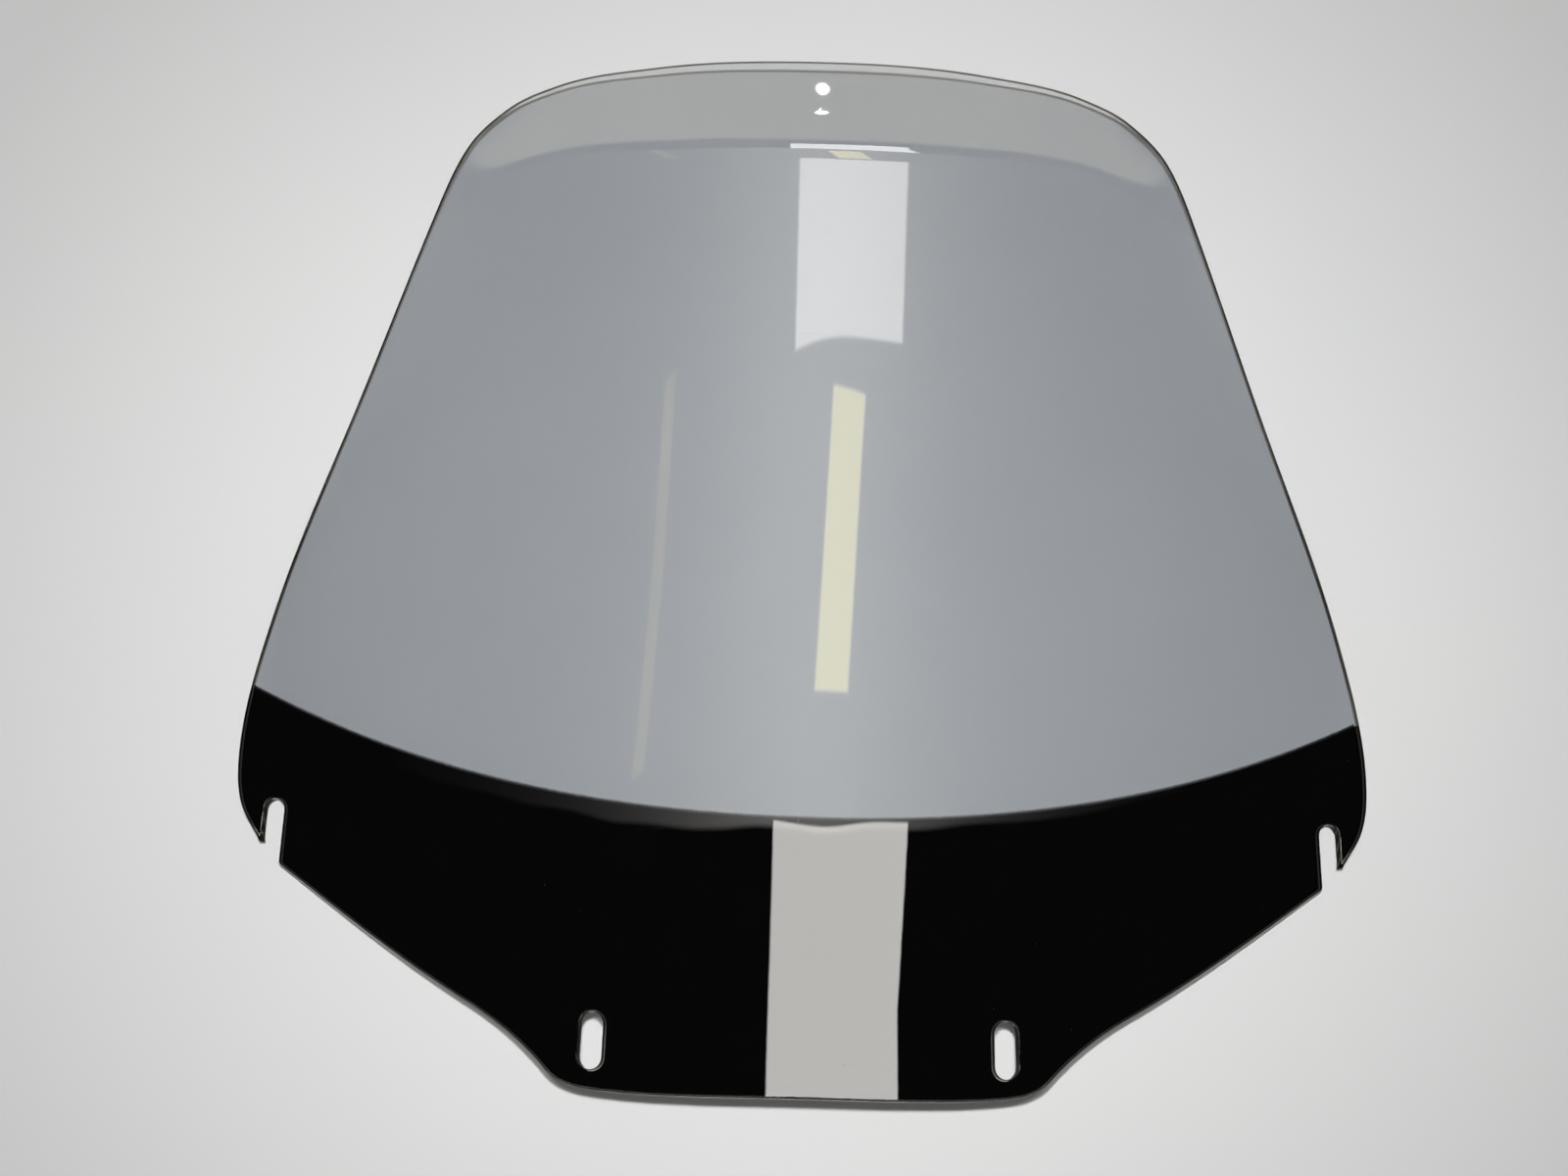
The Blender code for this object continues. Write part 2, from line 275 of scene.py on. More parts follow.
def pull_in(loop, distance):
    """The loop moved into the material, by less where it would cross itself: points and their distances."""
    way = inward(loop)
    across = np.linalg.norm(loop[:, None] - loop[None], axis=2)
    facing = way @ way.T < FACING
    reach = np.minimum(distance, WIDTH_SHARE * np.where(facing, across, 1.0).min(axis=1))
    reach = np.minimum(reach, (reach[None] + INSET_SLOPE * across).min(axis=1))
    along = np.roll(loop, -1, axis=0) - loop
    for _ in range(SHRINK_TRIES):
        moved = loop + way * reach[:, None]
        still = ((np.roll(moved, -1, axis=0) - moved) * along).sum(axis=1)
        tight = still < SHORTEST_SHARE * (along ** 2).sum(axis=1)
        if not tight.any():
            break
        reach[tight | np.roll(tight, 1)] *= SHRINK
    return loop + way * reach[:, None], reach


# ---- triangles ---------------------------------------------------------------------------------
def inside(points, loop):
    """Even-odd test of many points against one loop."""
    x, y = points[:, 0][:, None], points[:, 1][:, None]
    x0, y0 = loop[:, 0][None], loop[:, 1][None]
    x1, y1 = np.roll(loop[:, 0], -1)[None], np.roll(loop[:, 1], -1)[None]
    crosses = (y0 > y) != (y1 > y)
    slope = (x1 - x0) / np.where(np.abs(y1 - y0) < 1e-12, 1e-12, y1 - y0)
    return (crosses & (x < x0 + (y - y0) * slope)).sum(axis=1) % 2 == 1


def inside_area(points, outer, holes):
    """Which points lie inside the outer loop and outside every hole."""
    keep = inside(points, outer)
    for hole in holes:
        keep &= ~inside(points, hole)
    return keep


def even_grid(low, high, spacing):
    """Staggered rows of points over the height between low and high."""
    rows = []
    for row in range(int((high[1] - low[1]) / (spacing * ROW_SHARE)) + 1):
        shift = spacing * 0.5 * (row % 2)
        columns = np.arange(-GRID_HALF_WIDTH + shift, GRID_HALF_WIDTH, spacing)
        level = np.full(len(columns), low[1] + row * spacing * ROW_SHARE)
        rows.append(np.stack([columns, level], axis=1))
    return np.concatenate(rows)


def gap_to_border(points, border):
    """Each point's distance from the nearest border point."""
    near = np.full(len(points), np.inf)
    for start in range(0, len(border), BATCH):
        part = border[start:start + BATCH]
        gap = np.linalg.norm(points[:, None] - part[None], axis=2).min(axis=1)
        near = np.minimum(near, gap)
    return near


def triangulate(outer, holes, spacing):
    """Triangles between a loop and its holes: the points, the triangles and the points of each loop."""
    loops = [outer] + holes
    border = np.concatenate(loops)
    grid = even_grid(outer.min(axis=0), outer.max(axis=0), spacing)
    grid = grid[inside_area(grid, outer, holes)]
    grid = grid[gap_to_border(grid, border) > spacing * BORDER_GAP]
    points = np.concatenate([border, grid])
    spans, edges, first = [], [], 0
    for loop in loops:
        span = range(first, first + len(loop))
        spans.append(span)
        edges += [(span[i], span[(i + 1) % len(span)]) for i in range(len(span))]
        first += len(loop)
    made = delaunay_2d_cdt([Vector(p) for p in points], edges, [], 0, WELD)
    flat = np.array([tuple(v) for v in made[0]])
    triangles = np.array([f for f in made[2] if len(f) == 3])
    triangles = triangles[inside_area(flat[triangles].mean(axis=1), outer, holes)]
    side = flat[triangles]
    area = np.cross(side[:, 1] - side[:, 0], side[:, 2] - side[:, 0])
    triangles[area < 0] = triangles[area < 0][:, ::-1]
    place = {old: new for new, originals in enumerate(made[3]) for old in originals}
    rims = [[place[i] for i in span] for span in spans]
    return flat, triangles, rims


# ---- formed surface ----------------------------------------------------------------------------
def cross_section(u):
    """x and the fall of the rounded crown at each distance u along the sheet from its middle."""
    arc = np.linspace(0.0, SECTION_ARC, SECTION_POINTS)
    angle = WING_ANGLE * arc / np.hypot(arc, CROWN_WIDTH)
    middle = 0.5 * (angle[1:] + angle[:-1])
    step = arc[1] - arc[0]
    across = np.concatenate(([0.0], np.cumsum(np.cos(middle)) * step))
    fall = np.concatenate(([0.0], np.cumsum(np.sin(middle)) * step))
    return np.sign(u) * np.interp(np.abs(u), arc, across), np.interp(np.abs(u), arc, fall)


def smooth(value, low, high):
    """0 below low, 1 above high and smooth between them."""
    share = np.clip((value - low) / (high - low), 0.0, 1.0)
    return share * share * (3.0 - 2.0 * share)


def lip_rise(u, v):
    """How far the flared lip stands out of the sheet's curve."""
    reach = np.abs(u) / LIP_HALF_WIDTH
    start = LIP_START - LIP_DROP * reach ** LIP_POWER
    slope = LIP_DROP * LIP_POWER * reach ** (LIP_POWER - 1) / LIP_HALF_WIDTH
    beyond = np.maximum((v - start) / np.hypot(1.0, slope), 0.0)
    share = np.minimum(beyond / LIP_BEND, 1.0)
    bend = LIP_BEND * (share ** 3 - 0.5 * share ** 4)
    straight = np.maximum(beyond - LIP_BEND, 0.0)
    return math.tan(LIP_ANGLE) * (bend + straight) * smooth(v, *LIP_FADE)


def free_surface(u, v):
    """The rider's side of the sheet, before it is flattened around the slots."""
    x, fall = cross_section(u)
    tilt = RAKE_ANGLE - v / RAKE_RADIUS
    y = RAKE_RADIUS * (math.sin(RAKE_ANGLE) - np.sin(tilt))
    z = RAKE_RADIUS * (math.cos(RAKE_ANGLE) - np.cos(tilt)) - fall + lip_rise(u, v)
    return np.stack([x, y, z], axis=-1)


def slopes(surface, u, v, step):
    """How the surface's points move with u and with v."""
    along_u = (surface(u + step, v) - surface(u - step, v)) / (2.0 * step)
    along_v = (surface(u, v + step) - surface(u, v - step)) / (2.0 * step)
    return along_u, along_v


def mould_surface(u, v):
    """The rider's side of the sheet, flat around each slot."""
    points = free_surface(u, v)
    for side in (-1.0, 1.0):
        for centre_u, centre_v in (LOWER_SLOT_CENTRE, SIDE_SEAT_CENTRE):
            seat_u, seat_v = np.array([side * centre_u]), np.array([centre_v])
            along_u, along_v = slopes(free_surface, seat_u, seat_v, SEAT_STEP)
            right, up = (u - seat_u)[:, None], (v - seat_v)[:, None]
            flat = free_surface(seat_u, seat_v) + right * along_u + up * along_v
            share = 1.0 - smooth(np.hypot(u - seat_u, v - seat_v), SEAT_RADIUS, SEAT_BLEND)
            points = points + share[:, None] * (flat - points)
    return points


def formed(flat, height, lean=None):
    """Points at that height over the rider's side, and their outward normals.

    lean is (outward flat direction, angle): 0 faces along the sheet and 90 degrees faces out of it.
    """
    u, v = flat[:, 0], flat[:, 1]
    along_u, along_v = slopes(mould_surface, u, v, SLOPE_STEP)
    normal = np.cross(along_u, along_v)
    normal /= np.linalg.norm(normal, axis=1)[:, None]
    points = mould_surface(u, v) + height[:, None] * normal
    facing = normal
    if lean is not None:
        out, angle = lean
        edge = along_u * out[:, 0][:, None] + along_v * out[:, 1][:, None]
        edge /= np.linalg.norm(edge, axis=1)[:, None]
        facing = np.cos(angle) * edge + np.sin(angle) * normal
    turned = np.array(LIE).T
    return points @ turned, facing @ turned


# ---- solids ------------------------------------------------------------------------------------
def add_object(name, data):
    """A new object in the scene."""
    obj = bpy.data.objects.new(name, data)
    bpy.context.scene.collection.objects.link(obj)
    return obj


def edge_rings(loop, radius, low, high):
    """Rings of points up a rounded edge, from the back to the front, and their normals."""
    way = inward(loop)
    out = -way / np.linalg.norm(way, axis=1)[:, None]
    angles = np.radians(EDGE_ANGLES)
    steps = [(a, low + radius * (1 + math.sin(a))) for a in angles]
    steps += [(-a, high - radius * (1 + math.sin(a))) for a in angles[::-1]]
    for angle, height in steps:
        inset = radius * (1.0 - math.cos(angle))
        yield formed(loop + way * inset[:, None], height, (out, angle))


def solid(name, loops, low, high, radii, spacing):
    """A formed solid between two heights, with rounded edges, and the flat points of its faces.

    The first loop is the outer one. Vertices come as the front, the back and then the edges.
    """
    insets, reaches = zip(*[pull_in(loop, radius) for loop, radius in zip(loops, radii)])
    flat, triangles, rims = triangulate(insets[0], list(insets[1:]), spacing)
    count = len(flat)
    front, front_normals = formed(flat, np.full(count, high))
    back, back_normals = formed(flat, np.full(count, low))
    points, normals = [front, back], [front_normals, -back_normals]
    faces = [tuple(t) for t in triangles] + [tuple(t[::-1] + count) for t in triangles]
    slots = [FRONT] * len(triangles) + [BACK] * len(triangles)
    total = 2 * count
    for loop, reach, rim in zip(loops, reaches, rims):
        size = len(loop)
        rows = [[count + i for i in rim]]
        for ring, facing in edge_rings(loop, reach, low, high):
            points.append(ring)
            normals.append(facing)
            rows.append(range(total, total + size))
            total += size
        rows.append(rim)
        for lower, upper in zip(rows[:-1], rows[1:]):
            for i in range(size):
                j = (i + 1) % size
                faces.append((lower[i], lower[j], upper[j], upper[i]))
                slots.append(EDGE)
    mesh = bpy.data.meshes.new(name)
    mesh.from_pydata(np.concatenate(points).tolist(), [], faces)
    mesh.polygons.foreach_set("material_index", slots)
    mesh.shade_smooth()
    mesh.normals_split_custom_set_from_vertices(np.concatenate(normals).tolist())
    mesh.update()
    return add_object(name, mesh), flat


def dress(obj, *materials):
    """Give the object its materials, in the order of its slots."""
    for material in materials:
        obj.data.materials.append(material)


# ---- node trees --------------------------------------------------------------------------------
class Tree:
    """Short calls for building a node tree."""

    def __init__(self, tree):
        self.tree = tree

    def add(self, kind, **settings):
        node = self.tree.nodes.new(kind)
        for key, value in settings.items():
            setattr(node, key, value)
        return node

    def feed(self, socket, value):
        """Link a socket to this one, or give it a plain value."""
        if isinstance(value, bpy.types.NodeSocket):
            self.tree.links.new(value, socket)
        else:
            socket.default_value = value

    def set(self, node, **values):
        """Feed sockets by their names, with _ for each space."""
        for key, value in values.items():
            self.feed(node.inputs[key.replace("_", " ")], value)

    def maths(self, operation, *values):
        node = self.add("ShaderNodeMath", operation=operation)
        for socket, value in zip(node.inputs, values):
            self.feed(socket, value)
        return node.outputs[0]

    def blend(self, factor, a, b):
        """Colour a where the factor is 0 and colour b where it is 1."""
        node = self.add("ShaderNodeMix", data_type="RGBA")
        self.feed(node.inputs[0], factor)
        self.feed(node.inputs[6], (*a, 1.0))
        self.feed(node.inputs[7], (*b, 1.0))
        return node.outputs[2]


class Surface(Tree):
    """Short calls for building a material, with textures on the object's own axes."""

    def __init__(self, name):
        self.material = bpy.data.materials.new(name)
        self.material.use_nodes = True
        super().__init__(self.material.node_tree)
        self.tree.nodes.clear()
        self.coords = self.add("ShaderNodeTexCoord").outputs["Object"]

    def stretched(self, scale, turn=0.0):
        """The object's axes, turned and scaled, for a texture that is longer one way."""
        node = self.add("ShaderNodeMapping")
        self.set(node, Vector=self.coords, Scale=scale, Rotation=(0.0, 0.0, turn))
        return node.outputs["Vector"]

    def noise(self, scale, detail=2.0, roughness=0.5, vector=None):
        node = self.add("ShaderNodeTexNoise")
        self.set(node, Scale=scale, Detail=detail, Roughness=roughness, Vector=vector or self.coords)
        return node.outputs["Fac"]

    def ramp(self, value, low, high, out_low=0.0, out_high=1.0):
        """out_low where the value is low, out_high where it is high, and straight and clamped between."""
        node = self.add("ShaderNodeMapRange")
        self.set(node, Value=value, From_Min=low, From_Max=high, To_Min=out_low, To_Max=out_high)
        return node.outputs["Result"]

    def bump(self, height, distance, normal=None):
        """The normal of a surface raised by distance where height is 1."""
        node = self.add("ShaderNodeBump")
        self.set(node, Height=height, Distance=distance, Strength=1.0)
        if normal is not None:
            self.set(node, Normal=normal)
        return node.outputs["Normal"]

    def principled(self, **values):
        shader = self.add("ShaderNodeBsdfPrincipled")
        self.set(shader, **values)
        return shader.outputs[0]

    def finish(self, shader):
        out = self.add("ShaderNodeOutputMaterial")
        self.set(out, Surface=shader)
        return self.material


# ---- materials ---------------------------------------------------------------------------------
ACRYLIC_IOR = 1.49
FACE_TINT, THIN_TINT, FACE_CLEAR = (0.622, 0.642, 0.665), (0.638, 0.658, 0.680), (0.780, 0.793, 0.806)
# The cut edges' tints are painted shade: dark for the outline that the long path through an edge gives, and
# warm like the shadowed table below the bottom edge.
EDGE_SHADE_TINT, EDGE_SHADE_THIN_TINT, CUT_CLEAR = (0.115, 0.098, 0.066), (0.150, 0.130, 0.092), (0.27, 0.27, 0.26)
BONDED_DARK, BONDED_LIGHT, BONDED_GRAIN = (0.0004, 0.0004, 0.0004), (0.0010, 0.0010, 0.0010), 0.00001
BACK_DARK, BACK_LIGHT, BACK_GRAIN = (0.0060, 0.0060, 0.0065), (0.020, 0.020, 0.021), 0.00006
SPRAY_DARK, SPRAY_LIGHT = (0.010, 0.009, 0.010), (0.022, 0.018, 0.020)
TABLE_COOL, TABLE_WARM, TABLE_GRAIN = (0.745, 0.750, 0.755), (0.770, 0.770, 0.765), 0.00004
WAVE_HEIGHT, SPECK_HEIGHT = 0.00022, 0.00002
POLISH = 0.003                                       # roughness of the clean acrylic
SMEAR_DULLS, HAIR_DULLS, SPECK_DULLS = 0.008, 0.10, 0.35
TABLE_GLOW_FROM, TABLE_GLOW_TO, TABLE_GLOW = 0.56, 1.7, 0.62


def hairlines(n):
    """Fine scratches in two directions, in patches."""
    steep = n.noise(1.0, detail=1.0, vector=n.stretched((1500.0, 16.0, 16.0), turn=0.35))
    level = n.noise(1.0, detail=1.0, vector=n.stretched((22.0, 1300.0, 22.0), turn=0.6))
    hair = n.maths("ADD", n.ramp(steep, 0.74, 0.80), n.ramp(level, 0.75, 0.81))
    patches = n.ramp(n.noise(14.0, detail=2.0), 0.50, 0.66)
    return n.maths("MULTIPLY", hair, patches)


def dust(n):
    """Rare round specks."""
    cells = n.add("ShaderNodeTexVoronoi", feature="F1")
    n.set(cells, Scale=95.0, Vector=n.coords)
    specks = n.ramp(cells.outputs["Distance"], 0.035, 0.020)
    rare = n.ramp(n.noise(60.0, detail=0.0), 0.60, 0.62)
    return n.maths("MULTIPLY", specks, rare)


def acrylic(name, tint, thinner, clear_to_light):
    """Smoke acrylic: see-through, polished, faintly wavy from forming, with hairlines and specks of dust."""
    n = Surface(name)
    cloud = n.noise(9.0, detail=3.0)
    colour = n.blend(n.ramp(cloud, 0.3, 0.7), tint, thinner)
    hair, specks = hairlines(n), dust(n)
    smears = n.noise(6.0, detail=5.0, roughness=0.6, vector=n.stretched((1.0, 0.35, 1.0), turn=0.4))
    smears = n.maths("MULTIPLY", n.ramp(smears, 0.42, 0.75), SMEAR_DULLS)
    wear = n.maths("ADD", n.maths("MULTIPLY", hair, HAIR_DULLS), n.maths("MULTIPLY", specks, SPECK_DULLS))
    rough = n.maths("ADD", n.maths("ADD", smears, POLISH), wear)
    waves = n.noise(11.0, detail=1.0, vector=n.stretched((1.0, 0.45, 1.0)))
    facing = n.bump(specks, SPECK_HEIGHT, normal=n.bump(waves, WAVE_HEIGHT))
    shader = n.principled(Base_Color=colour, Roughness=rough, Normal=facing, IOR=ACRYLIC_IOR,
                          Transmission_Weight=1.0)
    clear = n.add("ShaderNodeBsdfTransparent")
    n.set(clear, Color=(*clear_to_light, 1.0))
    path = n.add("ShaderNodeLightPath")
    mix = n.add("ShaderNodeMixShader")
    passing = n.maths("MAXIMUM", path.outputs["Is Shadow Ray"], path.outputs["Is Diffuse Ray"])
    for socket, value in zip(mix.inputs, (passing, shader, clear.outputs[0])):
        n.feed(socket, value)
    return n.finish(mix.outputs[0])


def bonded_paint():
    """The paint's front, against the acrylic: deep black and without a shine of its own."""
    n = Surface("black_paint_bonded")
    fog = n.noise(35.0, detail=4.0, roughness=0.6)
    colour = n.blend(n.ramp(fog, 0.3, 0.7), BONDED_DARK, BONDED_LIGHT)
    rough = n.ramp(fog, 0.3, 0.7, 0.55, 0.75)
    facing = n.bump(n.noise(300.0, detail=1.0), BONDED_GRAIN)
    return n.finish(n.principled(Base_Color=colour, Roughness=rough, Normal=facing, Specular_IOR_Level=0.0))


def back_paint():
    """The paint's back: satin, with a sprayed grain."""
    n = Surface("black_paint_back")
    fog = n.noise(35.0, detail=4.0, roughness=0.6)
    colour = n.blend(n.ramp(fog, 0.45, 0.8), BACK_DARK, BACK_LIGHT)
    rough = n.ramp(fog, 0.3, 0.7, 0.24, 0.40)
    facing = n.bump(n.noise(520.0, detail=2.0, roughness=0.6), BACK_GRAIN)
    return n.finish(n.principled(Base_Color=colour, Roughness=rough, Normal=facing, Specular_IOR_Level=0.5))


def overspray():
    """Paint that thins out upwards, as a see-through film."""
    n = Surface("overspray")
    fade = n.add("ShaderNodeAttribute", attribute_name="fade").outputs["Fac"]
    grain = n.noise(900.0, detail=2.0, roughness=0.7)
    cover = n.maths("ADD", fade, n.maths("MULTIPLY", n.maths("SUBTRACT", grain, 0.5), 0.5))
    colour = n.blend(grain, SPRAY_DARK, SPRAY_LIGHT)
    return n.finish(n.principled(Base_Color=colour, Roughness=0.6, Alpha=n.ramp(cover, 0.08, 0.92),
                                 Specular_IOR_Level=0.1))


def pale_table():
    """Plain pale tabletop. The lamp over the object leaves its far part dim, so it glows a little there."""
    n = Surface("pale_table")
    cloud = n.noise(2.2, detail=3.0)
    grain = n.noise(260.0, detail=3.0)
    colour = n.blend(n.ramp(cloud, 0.3, 0.7), TABLE_COOL, TABLE_WARM)
    distance = n.add("ShaderNodeVectorMath", operation="LENGTH")
    n.feed(distance.inputs[0], n.coords)
    far_glow = n.ramp(distance.outputs["Value"], TABLE_GLOW_FROM, TABLE_GLOW_TO, 0.0, TABLE_GLOW)
    return n.finish(n.principled(Base_Color=colour, Roughness=n.ramp(grain, 0.3, 0.7, 0.55, 0.65),
                                 Normal=n.bump(grain, TABLE_GRAIN), Emission_Color=(1.0, 1.0, 1.0, 1.0),
                                 Emission_Strength=far_glow, Specular_IOR_Level=0.2))


# ---- pieces ------------------------------------------------------------------------------------
def smoke_sheet(outline):
    """The formed acrylic sheet, with its two closed slots."""
    slots = [slot_loop(side, SLOT_RADIUS) for side in (-1.0, 1.0)]
    radii = [EDGE_RADIUS] + [SLOT_EDGE_RADIUS] * len(slots)
    obj, _ = solid("smoke_sheet", [outline] + slots, 0.0, THICKNESS, radii, GRID_SPACING)
    face = acrylic("smoke_acrylic", FACE_TINT, THIN_TINT, FACE_CLEAR)
    # The edge faces get a darker, warmer tint than the faces: painted shade for their dark outline.
    edge = acrylic("smoke_acrylic_edge_shade", EDGE_SHADE_TINT, EDGE_SHADE_THIN_TINT, CUT_CLEAR)
    dress(obj, face, face, edge)
    return obj


def black_band(loop):
    """The coat of paint behind the sheet's lower part."""
    slots = [slot_loop(side, SLOT_RADIUS + COAT_INSET) for side in (-1.0, 1.0)]
    radii = [COAT_EDGE_RADIUS] * (1 + len(slots))
    obj, _ = solid("black_band", [loop] + slots, COAT_BOTTOM, COAT_TOP, radii, GRID_SPACING)
    back = back_paint()
    dress(obj, bonded_paint(), back, back)
    return obj


def band_feather(loop):
    """The soft upper edge of the paint, with how much of it is left at each point."""
    low = (COAT_TOP + COAT_BOTTOM) / 2.0
    high = low + FEATHER_THICKNESS
    obj, flat = solid("band_feather", [loop], low, high, [FEATHER_EDGE_RADIUS], FEATHER_SPACING)
    above = (flat[:, 1] - band_edge(flat[:, 0])) / FEATHER_WIDTH
    values = np.zeros(len(obj.data.vertices), np.float32)
    values[:2 * len(flat)] = np.tile(1.0 - np.clip(above, 0.0, 1.0), 2)
    fade = obj.data.attributes.new("fade", "FLOAT", "POINT")
    fade.data.foreach_set("value", values)
    dress(obj, overspray())
    obj.data.polygons.foreach_set("material_index", [0] * len(obj.data.polygons))
    return obj


def packed_place(obj):
    """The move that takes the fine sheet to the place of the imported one."""
    corners = np.array([v.co for v in obj.data.vertices])
    low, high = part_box("screen_sheet")
    return Vector((
        (low.x + high.x) / 2.0,
        (low.y + high.y) / 2.0 - (corners[:, 1].min() + corners[:, 1].max()) / 2.0,
        low.z - corners[:, 2].min(),
    ))


outline = outline_loop()
coat_outline, coat_right_end = coat_loop(outline)
sheet = smoke_sheet(outline)
coat = black_band(coat_outline)
feather = band_feather(feather_loop(coat_right_end))
offset = packed_place(sheet)
for piece in (sheet, coat, feather):
    piece.data.transform(Matrix.Translation(offset))

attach(sheet, "root")
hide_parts("screen_sheet")
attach(coat, "root")
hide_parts("blackout_coat")
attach(feather, "root")
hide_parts("blackout_coat")

# ---- stage -------------------------------------------------------------------------------------
FLOOR_RADIUS, FLOOR_SIDES = 6.0, 96


def make_table():
    """A round tabletop, as one flat face."""
    angles = np.linspace(0, 2 * math.pi, FLOOR_SIDES + 1)[:-1]
    rim = [(FLOOR_RADIUS * math.cos(a), FLOOR_RADIUS * math.sin(a), 0.0) for a in angles]
    mesh = bpy.data.meshes.new("table")
    mesh.from_pydata(rim, [], [tuple(range(len(rim)))])
    obj = add_object("table", mesh)
    obj.location.z = cad_low.z
    dress(obj, pale_table())
    return obj


floor = make_table()

# ---- camera ------------------------------------------------------------------------------------
CAMERA_ON_SHEET = Vector((-0.0132, 0.25404, 0.79898))
CAMERA_ROLL = math.radians(1.453)
LENS, SENSOR_WIDTH = 36.9, 36.0


def make_camera():
    """A camera that faces the sheet straight on, turned a little about its own axis."""
    data = bpy.data.cameras.new("camera")
    data.lens = LENS
    data.sensor_width = SENSOR_WIDTH
    obj = add_object("camera", data)
    obj.location = LIE @ CAMERA_ON_SHEET + offset
    right, up, back = (LIE @ Vector(axis) for axis in ((1, 0, 0), (0, 1, 0), (0, 0, 1)))
    rolled_right = math.cos(CAMERA_ROLL) * right + math.sin(CAMERA_ROLL) * up
    rolled_up = -math.sin(CAMERA_ROLL) * right + math.cos(CAMERA_ROLL) * up
    obj.rotation_euler = Matrix((rolled_right, rolled_up, back)).transposed().to_euler()
    bpy.context.scene.camera = obj
    return obj


# ---- lamps -------------------------------------------------------------------------------------
KEY_FROM_CAMERA, KEY_SIZE, KEY_RADIANCE = (0.0, 0.045, 0.03), (0.013, 0.013), 17800.0

SPARKLE_PLACE, SPARKLE_AIM = (0.022, -0.121, 0.944), (0.0, 0.25, 0.09)
SPARKLE_SIZE, SPARKLE_SPREAD, SPARKLE_RADIANCE = (0.12, 0.020), (0.015, 0.0016), 600.0

SIDE_LAMPS = (                              # (name, x, y, radiance)
    ("left", -2.3, 0.0, 1.4),
    ("right", 2.3, 0.0, 0.3),
    ("foot", 0.0, -2.4, 0.4),
    ("head", 0.0, 2.4, 0.4),
)
SIDE_HEIGHT, SIDE_SIZE = 0.48, (1.8, 0.75)
SIDE_AIM = 0.1                              # aimed this share of the way from the middle to the lamp

# The lamps overhead only show as reflections. A middle, a half and a soft are (across, up) for one soft-edged
# shape, and an end, a left or a right is where its fade starts and ends.
LAMP_HEIGHT = 1.8
BAND_LINE, BAND_CURVE = 0.369, 0.034        # the band's edge mirrors the lamps at y = line + curve * x * x
LIP_PANEL_LOW, LIP_PANEL_HIGH = (-1.9, -0.80), (1.9, 0.20)
LIP_PANEL_HALF, LIP_PANEL_SOFT, LIP_PANEL_END, LIP_PANEL_RADIANCE = 1.9, 0.7, (0.18, 0.02), 2.45
CEILING_LOW, CEILING_HIGH = (-2.0, 0.235), (2.0, 0.80)
GLOW_MIDDLE, GLOW_WIDTH, GLOW_SOFT, GLOW_RADIANCE = 0.06, 0.65, 0.004, 2.7
FOOT_LEFT, FOOT_RIGHT, FOOT_PAST_BAND, FOOT_RADIANCE = (-0.205, -0.185), (0.690, 0.675), (0.006, 0.004), 12.5
FOOT_LEAN_FROM, FOOT_LEAN = 0.300, -0.80
HEAD_MIDDLE, HEAD_HALF, HEAD_SOFT, HEAD_RADIANCE = (0.285, 0.6186), (0.42, 0.034), (0.03, 0.003), 7.3
HEAD_LEAN = -0.020
TUBE_MIDDLE, TUBE_HALF, TUBE_SOFT, TUBE_RADIANCE = (0.26, 0.4995), (0.138, 0.068), (0.03, 0.003), 7.2
TUBE_LEAN = -0.70
THIN_MIDDLE, THIN_HALF, THIN_SOFT, THIN_RADIANCE = (-1.0, 0.525), (0.040, 0.096), (0.02, 0.004), 1.5
THIN_LEAN = -0.50
WHITE, CREAM = (1.0, 1.0, 1.0), (1.0, 0.91, 0.74)
COOL_LIGHT, WARM_LIGHT = (1.0, 0.975, 0.945), (1.0, 0.93, 0.52)
STEEP = 0.7                                 # a lamp that looks down more steeply has its top towards +Y


def softbox(name, place, target, size, radiance, colour=WHITE, lights="all"):
    """A rectangular lamp that the camera doesn't see.

    lights is all, matt for a lamp that makes no reflection, or gloss for one that makes nothing else.
    """
    lamp = bpy.data.lights.new(name, "AREA")
    lamp.shape = "RECTANGLE"
    lamp.size, lamp.size_y = size
    lamp.energy = radiance * math.pi * size[0] * size[1]
    lamp.color = colour
    obj = add_object(name, lamp)
    obj.location = place
    back_way = (Vector(place) - Vector(target)).normalized()
    up_way = Vector((0.0, 1.0, 0.0)) if abs(back_way.z) > STEEP else Vector((0.0, 0.0, 1.0))
    side_way = up_way.cross(back_way).normalized()
    up_way = back_way.cross(side_way)
    obj.rotation_euler = Matrix((side_way, up_way, back_way)).transposed().to_euler()
    obj.visible_camera = False
    obj.visible_transmission = False
    obj.visible_glossy = lights != "matt"
    obj.visible_diffuse = lights != "gloss"
    return obj


